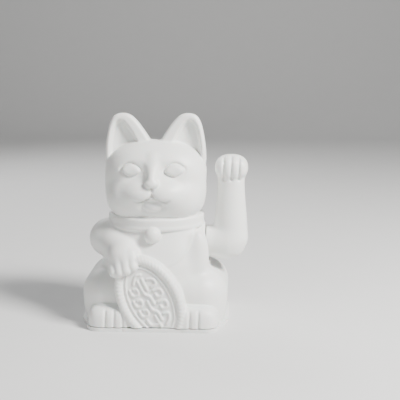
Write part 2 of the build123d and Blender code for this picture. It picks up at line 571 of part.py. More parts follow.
# ---- waving arm ----------------------------------------------------------------------------------


def arm(inset):
    """The raised arm from its stub to its paw, with the skin moved inwards by inset."""
    with BuildPart() as form:
        add(rod("X", (0, PIVOT_Z), ARM_STUB_RADIUS - inset, (ARM_STUB_X + inset, FOREARM_X)))
        with BuildSketch(Plane(origin=(FOREARM_X, 0, 0), x_dir=(1, 0, 0), z_dir=(0, -1, 0))):
            with BuildLine():
                profile = [(radius - inset, height) for height, radius in FOREARM]
                (low_r, low_z), (high_r, high_z) = profile[0], profile[-1]
                bottom, top = FOREARM_BOTTOM_Z + inset, PAW_TOP_Z - inset
                low_z2 = low_z - DOME_PULL * (low_z - bottom)
                high_z2 = high_z + DOME_PULL * (top - high_z)
                low = Bezier((0, bottom), (DOME_PULL * low_r, bottom), (low_r, low_z2), (low_r, low_z))
                Spline(*profile, tangents=((0, 1), (0, 1)))
                high = Bezier((high_r, high_z), (high_r, high_z2), (DOME_PULL * high_r, top), (0, top))
                Line(high @ 1, low @ 0)
            make_face()
        revolve(axis=Axis((FOREARM_X, 0, 0), (0, 0, 1)))
    return form.part


with BuildPart() as arm_shell:
    add(arm(0))
    add(arm(ARM_WALL), mode=Mode.SUBTRACT)
    for x, z in ARM_PIN_PLACES:
        add(rod("Y", (x, z), PIN_BOSS_RADIUS, (-PIN_BOSS_LENGTH, PIN_BOSS_LENGTH)))
    add(arm(0), mode=Mode.INTERSECT)
    add(rod("X", (0, PIVOT_Z), AXLE_HOLE_RADIUS, (0, ARM_STUB_X + ARM_WALL)), mode=Mode.SUBTRACT)

with BuildPart() as arm_front_half:
    add(arm_shell.part)
    split(bisect_by=Plane.XZ, keep=Keep.TOP)
    for x, z in ARM_PIN_PLACES:
        add(rod("Y", (x, z), PIN_RADIUS, (-PIN_LENGTH, PIN_LENGTH)))

with BuildPart() as arm_rear_half:
    add(arm_shell.part)
    split(bisect_by=Plane.XZ, keep=Keep.BOTTOM)
    for x, z in ARM_PIN_PLACES:
        add(rod("Y", (x, z), PIN_RADIUS + PIN_GAP, (0, PIN_LENGTH + 2 * PIN_GAP)), mode=Mode.SUBTRACT)

with BuildPart() as arm_hub:
    hub_start = ARM_STUB_X + ARM_WALL
    add(rod("X", (0, PIVOT_Z), ARM_STUB_RADIUS - ARM_WALL, (hub_start, hub_start + ARM_HUB_FLANGE)))
    add(rod("X", (0, PIVOT_Z), ARM_HUB_RADIUS, (hub_start, hub_start + ARM_HUB_LENGTH)))
    add(rod("X", (0, PIVOT_Z), AXLE_RADIUS, (hub_start, AXLE_X[1])), mode=Mode.SUBTRACT)

# ---- screws --------------------------------------------------------------------------------------


def screws(places, head_z, reach_z):
    """A set of equal cross-head screws that stand upright, with the head at head_z and the tip at reach_z."""
    up = 1 if reach_z > head_z[1] else -1
    seat, crown = (head_z[1], head_z[0]) if up > 0 else head_z
    with BuildPart() as form:
        for x, y in places:
            add(rod("Z", (x, y), SCREW_HEAD_RADIUS, head_z))
            add(rod("Z", (x, y), SCREW_RADIUS, sorted((seat, reach_z))))
            cross_z = sorted((crown, crown + up * CROSS_DEPTH))
            for half_x, half_y in ((CROSS_REACH, CROSS_WIDTH / 2), (CROSS_WIDTH / 2, CROSS_REACH)):
                slot = slab((x - half_x, x + half_x), (y - half_y, y + half_y), cross_z)
                add(slot, mode=Mode.SUBTRACT)
    return form.part


with BuildPart() as base_screws:
    add(screws(SHELL_BOSSES, SCREW_HEAD_Z, BASE_SCREW_TIP_Z))

with BuildPart() as frame_screws:
    flange_top = FRAME_Z[0] + FLANGE_THICKNESS
    add(screws(FRAME_SCREWS, (flange_top, flange_top + SCREW_HEAD_HEIGHT), INNER_SCREW_TIP_Z))

with BuildPart() as board_screws:
    add(screws(BOARD_SCREWS, (BOARD_Z[1], BOARD_Z[1] + SCREW_HEAD_HEIGHT), INNER_SCREW_TIP_Z))

# ---- battery leads -------------------------------------------------------------------------------


def lead(route):
    """An insulated lead along straight runs joined by arcs as large as the runs allow."""
    points = [Vector(*point) for point in route]
    radii = []
    for before, corner, after in zip(points, points[1:], points[2:]):
        run_in, run_out = corner - before, after - corner
        half_turn = radians(run_in.get_angle(run_out)) / 2
        radii.append(0.45 * min(run_in.length, run_out.length) / tan(half_turn))
    with BuildPart() as form:
        with BuildLine() as path:
            FilletPolyline(*points, radius=radii)
        with BuildSketch(Plane(origin=path.line @ 0, z_dir=path.line % 0)):
            Circle(LEAD_RADIUS)
        sweep()
    length = path.wires()[0].length
    section = pi * LEAD_RADIUS**2
    print("lead radii", [round(radius, 1) for radius in radii], "length", round(length, 1))
    print("lead volume", round(form.part.volume, 2), "section times length", round(section * length, 2))
    return form.part


with BuildPart() as positive_lead:
    add(lead(LEAD_ROUTE))

with BuildPart() as negative_lead:
    add(lead([(-x, y, z) for x, y, z in LEAD_ROUTE]))

# ---- output --------------------------------------------------------------------------------------

pieces = {
    "front_shell": front_shell,
    "rear_shell": rear_shell,
    "base_plate": base_plate,
    "battery_door": battery_door,
    "battery_cell": battery_cell,
    "battery_sleeve": battery_sleeve,
    "positive_contact": positive_contact,
    "negative_contact": negative_contact,
    "contact_spring": contact_spring,
    "pivot_frame": pivot_frame,
    "bearing_bush_left": bearing_bush_left,
    "bearing_bush_right": bearing_bush_right,
    "axle": axle,
    "retaining_clips": retaining_clips,
    "pendulum_bar": pendulum_bar,
    "counterweights": counterweights,
    "weight_rivet": weight_rivet,
    "pendulum_magnet": pendulum_magnet,
    "coil_bobbin": coil_bobbin,
    "drive_coil": drive_coil,
    "circuit_board": circuit_board,
    "capacitor": capacitor,
    "transistor": transistor,
    "resistors": resistors,
    "arm_front_half": arm_front_half,
    "arm_rear_half": arm_rear_half,
    "arm_hub": arm_hub,
    "base_screws": base_screws,
    "frame_screws": frame_screws,
    "board_screws": board_screws,
    "positive_lead": positive_lead,
    "negative_lead": negative_lead,
}
for label, piece in pieces.items():
    piece.part.label = label
    export_step(piece.part, f"parts/{label}.step")
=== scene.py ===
import json
import math

import bmesh
import bpy
import numpy as np
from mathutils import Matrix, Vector


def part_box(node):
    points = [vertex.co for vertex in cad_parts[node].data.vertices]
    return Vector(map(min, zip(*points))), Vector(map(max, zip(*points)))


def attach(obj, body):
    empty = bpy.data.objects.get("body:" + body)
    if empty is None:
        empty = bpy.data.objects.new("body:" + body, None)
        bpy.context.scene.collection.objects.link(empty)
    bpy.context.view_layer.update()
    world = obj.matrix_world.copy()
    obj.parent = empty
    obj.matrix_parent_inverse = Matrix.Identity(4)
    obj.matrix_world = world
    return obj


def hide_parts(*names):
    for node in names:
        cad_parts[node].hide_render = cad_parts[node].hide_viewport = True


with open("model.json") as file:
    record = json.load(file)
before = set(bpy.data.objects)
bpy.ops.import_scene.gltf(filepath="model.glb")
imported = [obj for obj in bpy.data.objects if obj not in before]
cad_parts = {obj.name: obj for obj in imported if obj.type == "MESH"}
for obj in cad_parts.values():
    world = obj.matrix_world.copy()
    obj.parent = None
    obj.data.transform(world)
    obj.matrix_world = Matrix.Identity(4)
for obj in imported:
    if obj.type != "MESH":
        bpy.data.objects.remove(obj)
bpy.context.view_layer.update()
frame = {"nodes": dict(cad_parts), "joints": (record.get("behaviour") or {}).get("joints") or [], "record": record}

# Looks of the beckoning cat figurine. The two body shells and the two halves of the raised arm are
# sculpted here as smooth distance fields, in millimetres, and turned into meshes round the CAD frame.
# The mechanism, the base plate, the door and the screws are the CAD's own nodes with new materials.

MM = 0.001


# ---- places taken from the frame -----------------------------------------------------------------


def box_mm(node):
    """Lowest and highest corner of a CAD node, in millimetres."""
    low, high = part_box(node)
    return np.array(low) / MM, np.array(high) / MM


joints = {joint["name"]: joint for joint in frame["joints"]}
PIVOT_Z = joints["arm_swing"]["pos_m"][2] / MM
SHELL_LOW, SHELL_HIGH = box_mm("front_shell")
SHELL_BOTTOM = SHELL_LOW[2]
ARM_LOW, ARM_HIGH = box_mm("arm_front_half")
STUB_X = ARM_LOW[0]
JOINT_GAP, SEAT_RADIUS, STUB_RADIUS = 0.5, 14.8, 11.8
SEAT_X = STUB_X - JOINT_GAP
WALL, ARM_WALL = 2.2, 2.0

# ---- distance fields -----------------------------------------------------------------------------


def smooth_min(a, b, blend):
    share = np.clip(0.5 + 0.5 * (b - a) / blend, 0, 1)
    return b + (a - b) * share - blend * share * (1 - share)


def smooth_max(a, b, blend):
    return -smooth_min(-a, -b, blend)


def ramp(value, low, high):
    """0 below low, 1 above high, and a smooth step between them."""
    share = np.clip((value - low) / (high - low), 0, 1)
    return share * share * (3 - 2 * share)


def ovoid(p, centre, radii, power=2.0):
    """Distance to a superellipsoid, exact enough near its surface."""
    total = 0
    slope = 0
    for value, middle, radius in zip(p, centre, radii):
        share = np.abs(value - middle) / radius + 1e-4
        total = total + share**power
        slope = slope + (share ** (power - 1) / radius) ** 2
    reach = total ** (1 / power)
    return (reach - 1) / (np.sqrt(slope) * reach ** (1 - power))


def oval(u, v, radius_u, radius_v):
    """Distance to an ellipse in its plane."""
    reach = np.hypot(u / radius_u, v / radius_v) + 1e-4
    slope = np.hypot(u / radius_u**2, v / radius_v**2) + 1e-6
    return reach * (reach - 1) / slope


def limb(p, start, end, start_radius, end_radius):
    """Distance to a round bar whose radius changes evenly from start to end."""
    start, end = np.array(start, float), np.array(end, float)
    along = end - start
    offset = [value - first for value, first in zip(p, start)]
    share = sum(part * run for part, run in zip(offset, along)) / (along @ along)
    share = np.clip(share, 0, 1)
    gap = sum((part - share * run) ** 2 for part, run in zip(offset, along))
    return np.sqrt(gap) - start_radius - share * (end_radius - start_radius)


def rounded(flat, height, radius):
    """Distance to a shape with a rounded edge, from its distances in plan and in height."""
    out = np.hypot(np.maximum(flat + radius, 0), np.maximum(height + radius, 0))
    return np.minimum(np.maximum(flat, height) + radius, 0) + out - radius


def profile(table, spread=7.0):
    """A smooth curve through a table of (height, value) pairs."""
    heights, values = np.array(table, float).T
    dense = np.linspace(heights[0] - 30, heights[-1] + 30, 600)
    rough = np.interp(dense, heights, values)
    width = int(spread / (dense[1] - dense[0])) | 1
    kernel = np.hanning(width + 2)[1:-1]
    padded = np.pad(rough, width // 2, mode="edge")
    smooth = np.convolve(padded, kernel / kernel.sum(), mode="valid")
    return lambda height: np.interp(height, dense, smooth)


class Chart:
    """Distance to an outline, or to a set of lines, in a plane: an outline's inside is negative."""

    STEP = 0.3

    def __init__(self, outline=None, lines=(), rounds=3):
        closed = outline is not None
        lines = [np.array(line, float) for line in ([outline] if closed else lines)]
        for _ in range(rounds):
            lines = [self.soften(line, closed) for line in lines]
        self.low = np.vstack(lines).min(0) - 14
        size = np.ceil((np.vstack(lines).max(0) + 14 - self.low) / self.STEP).astype(int) + 1
        axes = [np.arange(number) * self.STEP + low for number, low in zip(size, self.low)]
        u, v = np.meshgrid(*axes, indexing="ij")
        best = np.full(u.shape, 1e6)
        inside = np.zeros(u.shape, bool)
        for line in lines:
            for (u0, v0), (u1, v1) in zip(line, np.roll(line, -1, 0) if closed else line[1:]):
                run_u, run_v = u1 - u0, v1 - v0
                share = ((u - u0) * run_u + (v - v0) * run_v) / (run_u**2 + run_v**2 + 1e-9)
                share = np.clip(share, 0, 1)
                best = np.minimum(best, np.hypot(u - u0 - share * run_u, v - v0 - share * run_v))
                if closed and v0 != v1:
                    crossed = (v0 > v) != (v1 > v)
                    inside ^= crossed & (u < (v - v0) / (v1 - v0) * run_u + u0)
        self.table = np.where(inside, -best, best)

    @staticmethod
    def soften(points, closed):
        """Cuts the corners of an outline or a line once."""
        after = np.roll(points, -1, 0) if closed else points[1:]
        before = points if closed else points[:-1]
        cut = np.stack([0.75 * before + 0.25 * after, 0.25 * before + 0.75 * after], 1).reshape(-1, 2)
        return cut if closed else np.vstack([points[:1], cut, points[-1:]])

    def __call__(self, u, v):
        place_u = np.clip((u - self.low[0]) / self.STEP, 0, self.table.shape[0] - 1.001)
        place_v = np.clip((v - self.low[1]) / self.STEP, 0, self.table.shape[1] - 1.001)
        i, j = place_u.astype(int), place_v.astype(int)
        a, b = place_u - i, place_v - j
        near = self.table[i, j] * (1 - a) + self.table[i + 1, j] * a
        far = self.table[i, j + 1] * (1 - a) + self.table[i + 1, j + 1] * a
        return near * (1 - b) + far * b


def groove(distance, width):
    """1 on a line and 0 a width away from it."""
    return np.exp(-((distance / width) ** 2))


# ---- the figure ----------------------------------------------------------------------------------

trunk_width = profile([(3, 41), (24, 41), (36, 40.5), (46, 39.0), (58, 35.4), (66, 32.6), (74, 30.6)])
trunk_front = profile([(3, 33), (20, 33), (30, 33.4), (44, 33), (56, 30), (64, 27.2), (74, 24.6)])
trunk_back = profile([(3, 37.3), (24, 37.3), (44, 34), (58, 30), (74, 26.5)])

ear_outline = Chart([
    (1.0, 122), (3.4, 130.4), (8.2, 138), (13.2, 145), (18.2, 149.6), (24, 150.6), (29.6, 149.2),
    (33, 143.6), (35, 134), (36.4, 124), (36.6, 112), (24, 106), (8, 112),
])
dish_outline = Chart([
    (7.4, 116), (10.6, 127), (14.4, 134.6), (18.2, 141), (21.8, 145.4), (25.4, 146.4), (28.8, 144.6),
    (31.4, 139), (32.8, 131), (33.4, 122), (33.6, 110), (20, 106), (8, 108),
])
bib_outline = Chart([
    (29, 84), (29.3, 68), (27.2, 60), (23, 52.4), (16, 46.6), (8, 43.6), (0, 42.6),
    (-8, 43.6), (-16, 46.6), (-23, 52.4), (-27.2, 60), (-29.3, 68), (-29, 84),
])
mouth_line = Chart(lines=[[(0, 96.2), (2.0, 93.8), (5.4, 91.4), (9.0, 90.8), (12.4, 92.0)]])


TRUNK_POWER, TRUNK_TOP = 2.4, 78
HAUNCH_POWER, HAUNCH_ROUND, HAUNCH_LEVEL, HAUNCH_RISE = 2.1, 20, 22, 18.0


def haunches(p):
    """Both haunches. In plan each is a rounded rectangle, as the base plate below it."""
    x, y, z = p
    # below its widest level a haunch narrows only a little
    level = np.where(z < HAUNCH_LEVEL, HAUNCH_LEVEL + (z - HAUNCH_LEVEL) * 0.45, z)
    past_x = np.maximum(np.abs(np.abs(x) - 31.2) - 1.4, 0)
    past_y = np.maximum(np.abs(y - 1.6) - 15.4, 0)
    corner = np.hypot(past_x, past_y) / HAUNCH_ROUND
    rise = np.abs(level - HAUNCH_LEVEL) / HAUNCH_RISE + 1e-4
    reach = ((corner + 1e-4) ** HAUNCH_POWER + rise**HAUNCH_POWER) ** (1 / HAUNCH_POWER)
    steep = HAUNCH_POWER - 1
    slope = np.hypot((corner / reach + 1e-4) ** steep / HAUNCH_ROUND, (rise / reach) ** steep / HAUNCH_RISE)
    return (reach - 1) / slope


def torso(p):
    x, y, z = p
    width, depth = trunk_width(z), np.where(y < 0, trunk_front(z), trunk_back(z))
    reach = (np.abs(x) / width) ** TRUNK_POWER + (np.abs(y) / depth) ** TRUNK_POWER + 1e-6
    trunk = (reach ** (1 / TRUNK_POWER) - 1) * np.minimum(width, depth)
    trunk = smooth_max(trunk, z - TRUNK_TOP, 4)
    return smooth_min(trunk, haunches(p), 2.4)


def feet(p):
    x, y, z = p
    side = np.abs(x)
    foot = ovoid((side, y, z), (29.0, -26.5, 3.6), (17.4, 15.9, 14.2), 3.6)
    toes = sum(groove(side - place, 0.95) for place in (20.6, 26.6, 32.8))
    return foot + 1.3 * toes * ramp(-y, 33, 38) * ramp(-z, -17, -12)


def muzzle(p, form):
    """Adds the muzzle, soft above and overhanging the lower lip, and the nose, to the head's form."""
    x, y, z = p
    side, front = np.abs(x), ramp(-y, 14, 20)
    puff = ovoid((side, y, z), (6.8, -24.6, 96.0), (13.0, 9.6, 8.2))
    form = smooth_min(form, puff, 5)
    under = ovoid(p, (0, -34.6, 86.2), (12.6, 8.8, 6.2))
    form = smooth_max(form, -under, 1.4)
    lip = ovoid(p, (0, -23.6, 88.0), (8.4, 7.4, 5.2))
    form = smooth_min(form, lip, 1.0)
    nose = ovoid((x, y, z - 0.16 * side), (0, -31.4, 103.5), (5.0, 3.8, 2.9), 2.1)
    form = smooth_min(form, nose, 1.4)
    form = form + front * 1.5 * groove(mouth_line(side, z), 0.85) * (1 - 0.7 * ramp(side, 9, 13))
    return form + front * 0.9 * groove(side, 0.7) * ramp(z, 96, 98) * ramp(-z, -102.4, -100.6)


EYE_PLACE, EYE_HALF, EYE_LEAN, EYE_DEPTH = (15.4, 112.5), (6.9, 4.3), math.radians(2), 2.5


def eyes(p, form):
    """Adds the eyes, each a smooth almond in a crease, to the head's form."""
    x, y, z = p
    front = ramp(-y, 14, 20)
    out, rise = np.abs(x) - EYE_PLACE[0], z - EYE_PLACE[1]
    across = out * math.cos(EYE_LEAN) + rise * math.sin(EYE_LEAN)
    up = rise * math.cos(EYE_LEAN) - out * math.sin(EYE_LEAN)
    almond = oval(across, up * (1 + 0.008 * across**2), *EYE_HALF)
    dome = np.clip(-almond / EYE_HALF[1], 0, 1)
    form = form - front * EYE_DEPTH * np.sqrt(dome * (2 - dome))
    crease = groove(almond - 0.5, 0.8) * (0.5 + 0.5 * ramp(up, -3, 3))
    return form + front * 0.9 * crease


def head(p):
    x, y, z = p
    side = np.abs(x)
    skull = ovoid(p, (0, 0.5, 104.6), (36.9, 28.2, 26.4), 2.5)
    jaw = ovoid(p, (0, -1.4, 89.4), (35.4, 26.6, 17.4), 2.5)
    form = smooth_min(skull, jaw, 6)
    cheek = ovoid((side, y, z), (17, -17.5, 92), (14, 11.4, 12))
    form = smooth_min(form, cheek, 6)
    socket = ovoid((side, y, z), (15.6, -30.6, 113.2), (11.4, 6.2, 8.2))
    form = smooth_max(form, -socket, 4.0)
    pocket = ovoid((side, y, z), (8.2, -31.4, 115.0), (4.6, 5.4, 6.6))
    form = smooth_max(form, -pocket, 2.6)
    bridge = limb(p, (0, -19.6, 119.5), (0, -31.2, 106), 4.2, 3.2)
    form = smooth_min(form, bridge, 3.4)
    return eyes(p, muzzle(p, form))


def ears(p):
    x, y, z = p
    side = np.abs(x)
    flat = ear_outline(side, z)
    half = 5.4 - 1.6 * ramp(z, 124, 150)
    within = -dish_outline(side, z)
    dish = 3.6 * ramp(within, -0.6, 2.4) + 1.6 * ramp(within, 0, 8)
    swell = 2.4 * ramp(-flat, 0, 12)
    middle = -1.0 + 0.5 * dish + 0.5 * swell
    half = half - 0.5 * dish + 0.5 * swell
    return rounded(flat, np.abs(y - middle) - half, 2.4)


COLLAR_WIDTH, COLLAR_DEPTH = 33.4, 27.8


def collar(p):
    """A band round the neck with a lip along its lower edge."""
    x, y, z = p
    out = oval(x, y, COLLAR_WIDTH, COLLAR_DEPTH) + 3

    def ring(half_width, height, half_height, radius):
        past = np.maximum(np.abs(out) - half_width, 0)
        return np.hypot(past, np.maximum(np.abs(z - height) - half_height, 0)) - radius

    return smooth_min(ring(3, 74.2, 2.4, 1.6), ring(3.6, 70.8, 0.2, 1.4), 0.8)


def resting_arm(p):
    shoulder = limb(p, (-18.0, -1.0, 62.0), (-35.0, -5.0, 59.0), 14.0, 13.2)
    arm = smooth_min(shoulder, limb(p, (-34.4, -5.5, 60.0), (-20.5, -25.0, 53.6), 13.4, 11.0), 3)
    palm = ovoid(p, (-20.0, -31.0, 51.4), (11.4, 8.4, 9.4))
    arm = smooth_min(arm, palm, 4)
    knuckles = ((-14.4, -33.8, 54.0), (-18.8, -35.2, 51.6), (-23.2, -35.0, 48.8), (-27.0, -33.0, 46.0))
    tips = ((-12.8, -39.0, 46.6), (-17.4, -40.2, 44.2), (-22.0, -40.0, 42.6), (-26.2, -38.2, 42.0))
    fingers = None
    for knuckle, tip in zip(knuckles, tips):
        finger = limb(p, knuckle, tip, 4.4, 3.6)
        fingers = finger if fingers is None else smooth_min(fingers, finger, 0.9)
    return smooth_min(arm, fingers, 2.0)


COIN_CENTRE, COIN_TURN, COIN_LEAN = (-1.2, -35.0, 22.4), math.radians(28), math.radians(4)
COIN_WIDTH, COIN_LENGTH, COIN_FIELD = 22.2, 33.4, 4.2
RIM_RADIUS, RIM_HEIGHT, INNER_LINE = 3.1, 3.6, 8.2
ROPE_TURNS, ROPE_DEPTH = 62, 0.13
# plain scrolls and bars in three columns; they stand for no writing
scrolls = Chart(rounds=2, lines=[
    [(-9.4, 12.4), (-9.6, 7.4), (-4.6, 7.2), (-4.4, 11.6), (-6.8, 11.8)],
    [(-10.6, 4.4), (-10.8, -0.6), (-5.6, -0.8), (-5.4, 3.6), (-8.0, 3.8)],
    [(-10.4, -3.6), (-10.2, -8.8), (-5.2, -8.8), (-5.0, -4.6), (-7.4, -4.4)],
    [(-8.4, -11.6), (-7.6, -16.6), (-3.2, -17.2)],
    [(-5.0, 15.4), (-1.2, 20.2), (2.6, 19.4)],
    [(-1.4, 15.8), (-1.6, 5.0), (1.6, 3.0), (1.6, -3.4)],
    [(2.0, 16.0), (1.8, 7.4)],
    [(-1.8, 0.4), (-2.0, -7.0), (1.4, -9.0), (1.2, -16.0)],
    [(-1.8, -11.4), (-1.4, -20.0)],
    [(5.2, 14.4), (9.4, 13.0), (9.8, 8.6), (5.6, 8.2)],
    [(5.4, 5.2), (10.4, 4.8), (10.6, -0.2), (5.8, -0.4), (5.6, 2.2)],
    [(5.0, -3.6), (10.2, -4.0), (10.0, -9.2), (5.2, -9.4), (5.0, -6.8)],
    [(4.4, -12.6), (8.0, -13.0), (6.4, -17.6), (2.8, -19.8)],
])


def coin(p):
    """The oval coin: a roped rim, an inner line, and scrolls in low relief on its field."""
    x, y, z = (value - middle for value, middle in zip(p, COIN_CENTRE))
    u = x * math.cos(COIN_TURN) + z * math.sin(COIN_TURN)
    v = -x * math.sin(COIN_TURN) + z * math.cos(COIN_TURN)
    proud = -y * math.cos(COIN_LEAN) + z * math.sin(COIN_LEAN)
    edge = oval(u, v, COIN_WIDTH, COIN_LENGTH)
    disc = rounded(edge, np.abs(proud + 2) - COIN_FIELD - 2, 1.0)
    turn = np.arctan2(v / COIN_LENGTH, u / COIN_WIDTH)
    twist = np.sin(ROPE_TURNS * turn + 1.4 * np.arctan2(proud - RIM_HEIGHT, edge + RIM_RADIUS))
    rim = np.hypot(edge + RIM_RADIUS, proud - RIM_HEIGHT) - RIM_RADIUS - ROPE_DEPTH * twist
    form = smooth_min(disc, rim, 0.5)
    relief = 0.9 * groove(edge + INNER_LINE, 0.8) + ramp(-scrolls(u, v), -1.25, -0.45)
    return form - relief * ramp(proud, COIN_FIELD - 2, COIN_FIELD - 0.6)


def tail(p):
    root = limb(p, (15.0, 32.0, 8.0), (8.0, 36.4, 15.0), 7.2, 6.4)
    tip = limb(p, (8.0, 36.4, 15.0), (-5.0, 34.6, 29.0), 6.4, 5.2)
    return smooth_min(root, tip, 2)


BIB_HEIGHT, SEAT_DEPTH, CLEARANCE = 1.2, 16, 0.8
BELL_CENTRE, BELL_RADII = (0, -28.6, 67.0), (6.0, 5.6, 6.0)
SWELL_CENTRE, SWELL_RADII = (31.4, -18.2, 50), (7.4, 6.8, 17.5)
SEAM_DEPTH, SEAM_WIDTH = 0.2, 0.5


def figure(p):
    """The outer skin of the body, from the resting face up to the ears."""
    x, y, z = p
    axle = np.hypot(y, z - PIVOT_Z)
    body = torso(p)
    body = body - BIB_HEIGHT * ramp(-bib_outline(x, z), -1.3, 1.3) * ramp(-y, 4, 12)
    body = smooth_min(body, feet(p), 0.9)
    along = np.abs(x - SEAT_X + SEAT_DEPTH / 2) - SEAT_DEPTH / 2
    body = smooth_min(body, rounded(axle - SEAT_RADIUS, along, 1.2), 2.5)
    # the breast swells in front of the arm's joint
    body = smooth_min(body, ovoid(p, SWELL_CENTRE, SWELL_RADII), 6)
    body = smooth_min(body, tail(p), 2.5)
    body = smooth_min(body, resting_arm(p), 2.6)
    body = smooth_min(body, coin(p), 0.7)
    body = smooth_min(body, collar(p), 0.8)
    body = smooth_min(body, ovoid(p, BELL_CENTRE, BELL_RADII), 0.7)
    body = smooth_min(body, smooth_min(head(p), ears(p), 1.6), 0.7)
    clearance = np.maximum(axle - SEAT_RADIUS + CLEARANCE, SEAT_X - x)
    body = smooth_max(body, -clearance, 0.4)
    return body + SEAM_DEPTH * groove(y, SEAM_WIDTH)


def figure_hollow(p):
    """The space inside the shells."""
    x, y, z = p
    skull = ovoid(p, (0, 0.5, 103.5), (32.0, 23.5, 23.0), 2.5)
    neck = np.maximum(np.hypot(x, y) - 14, np.abs(z - 76) - 12)
    foot = ovoid((np.abs(x), y, z), (30.6, -26.5, 6), (14.0, 13.2, 13.2), 3.0)
    hollow = smooth_min(torso(p) + WALL, foot, 1.0)
    return smooth_min(smooth_min(hollow, neck, 3), skull, 3)


# ---- the raised arm ------------------------------------------------------------------------------

arm_radius = profile(
    [(44, 12.2), (62, 12.4), (74, 11.7), (86, 10.6), (97, 9.8), (104, 9.8), (112, 11.0)], spread=6.0
)
ARM_X = 54.5


def raised_arm(p, inset=0.0):
    """The raised arm, or with an inset the space inside it, which has no toes."""
    x, y, z = p
    radius = arm_radius(z)
    fore = (np.hypot((x - ARM_X) / radius, y / (0.95 * radius)) - 1) * 0.97 * radius
    fore = smooth_max(fore, np.abs(z - 84) - 29, 6)
    elbow = ovoid(p, (51.7, 0, 56.4), (13.8, 12.6, 13.0), 2.15)
    stub = rounded(np.hypot(y, z - PIVOT_Z) - STUB_RADIUS, np.abs(x - STUB_X - 8) - 8, 0.8)
    arm = smooth_min(smooth_min(fore, elbow, 4), stub, 3)
    paw = ovoid(p, (54.7, 0.4, 111.6), (11.9, 10.8, 9.2), 2.3)
    arm = smooth_min(arm, paw, 2.5)
    if inset:
        return arm + inset
    toes = ovoid(p, (54.7, -5.0, 111.2), (11.2, 6.4, 7.6), 2.5)
    arm = smooth_min(arm, toes, 1.2)
    grooves = sum(groove(x - place, 0.95) for place in (49.3, 54.7, 60.1))
    return arm + 1.4 * grooves * ramp(-y, 2, 7) * ramp(z, 101.5, 103.5)


# ---- from field to mesh --------------------------------------------------------------------------

CORNERS = [(i, j, k) for i in (0, 1) for j in (0, 1) for k in (0, 1)]
EDGES = [
    (a, b) for a in CORNERS for b in CORNERS
    if sum(b) - sum(a) == 1 and all(m >= n for m, n in zip(b, a))
]
BLOCK = 4


def sample(field, low, step, count):
    """Field values on a grid. Blocks of cells that lie far from the surface get one value each."""
    middle = (BLOCK - 1) / 2 * step
    blocks = [np.arange(number) * BLOCK * step + start + middle for number, start in zip(count, low)]
    rough = field(np.meshgrid(*blocks, indexing="ij"))
    values = rough
    for axis in range(3):
        values = np.repeat(values, BLOCK, axis)
    near = np.abs(rough) < BLOCK * step * 1.5 + 1.0
    for axis in range(3):
        near = np.repeat(near, BLOCK, axis)
    places = np.argwhere(near)
    values[near] = field((places * step + low).T)
    return values


def surface(field, low, high, step):
    """Points and quads of the field's zero surface: one point in each cell that the surface crosses."""
    low, high = np.array(low, float), np.array(high, float)
    count = np.ceil((high - low) / step / BLOCK).astype(int)
    values = sample(field, low, step, count)
    inside = values < 0
    size = np.array(values.shape) - 1

    def corner(array, offset):
        return array[tuple(slice(o, n + o) for o, n in zip(offset, size))]

    filled = sum(corner(inside, offset).astype(np.int8) for offset in CORNERS)
    active = (filled > 0) & (filled < 8)
    cells = np.argwhere(active)
    index = np.full(active.shape, -1)
    index[active] = np.arange(len(cells))
    total, hits = np.zeros((len(cells), 3)), np.zeros(len(cells))
    for start, end in EDGES:
        first = values[tuple((cells + start).T)]
        second = values[tuple((cells + end).T)]
        crossed = (first < 0) != (second < 0)
        share = first[crossed] / (first[crossed] - second[crossed])
        total[crossed] += np.array(start) + share[:, None] * (np.array(end) - start)
        hits[crossed] += 1
    points = low + step * (cells + total / hits[:, None])
    quads = []
    for axis in range(3):
        ahead = [0, 0, 0]
        ahead[axis] = 1
        here, there = corner(inside, (0, 0, 0)), corner(inside, ahead)
        change = np.argwhere(here != there)
        u, v = np.eye(3, dtype=int)[(axis + 1) % 3], np.eye(3, dtype=int)[(axis + 2) % 3]
        change = change[(change @ u > 0) & (change @ v > 0)]
        ring = [index[tuple((change - shift).T)] for shift in (0 * u, u, u + v, v)]
        ring = np.stack(ring, 1)
        leaving = here[tuple(change.T)]
        ring[~leaving] = ring[~leaving][:, ::-1]
        quads.append(ring)
    return settle(field, points, step), np.vstack(quads)


def settle(field, points, step, rounds=2):
    """Moves the points on to the field's zero surface."""
    small = 0.05
    for _ in range(rounds):
        value = field(points.T)
        slope = np.stack([
            (field((points + small * axis).T) - field((points - small * axis).T)) / (2 * small)
            for axis in np.eye(3)
        ], 1)
        move = value / np.maximum((slope**2).sum(1), 0.2)
        points = points - np.clip(move[:, None] * slope, -0.6 * step, 0.6 * step)
    return points


def solid(outer, hollow):
    """One closed mesh from an outer skin and the skin of the space inside it."""
    (points, quads), (inner_points, inner_quads) = outer, hollow
    mesh = bmesh.new()
    source = bpy.data.meshes.new("sculpt")
    every = np.vstack([points, inner_points]) * MM
    faces = np.vstack([quads, inner_quads[:, ::-1] + len(points)])
    source.from_pydata(every.tolist(), [], faces.tolist())
    mesh.from_mesh(source)
    bpy.data.meshes.remove(source)
    return mesh


def cut(mesh, place, normal):
    """A copy of the mesh with everything beyond a plane cut off and the section closed."""
    mesh = mesh.copy()
    every = mesh.verts[:] + mesh.edges[:] + mesh.faces[:]
    found = bmesh.ops.bisect_plane(
        mesh, geom=every, plane_co=Vector(place) * MM, plane_no=normal, clear_outer=True, dist=1e-7
    )
    rim = [item for item in found["geom_cut"] if isinstance(item, bmesh.types.BMEdge) and item.is_boundary]
    bmesh.ops.triangle_fill(mesh, edges=rim, use_beauty=True, use_dissolve=False)
    return mesh


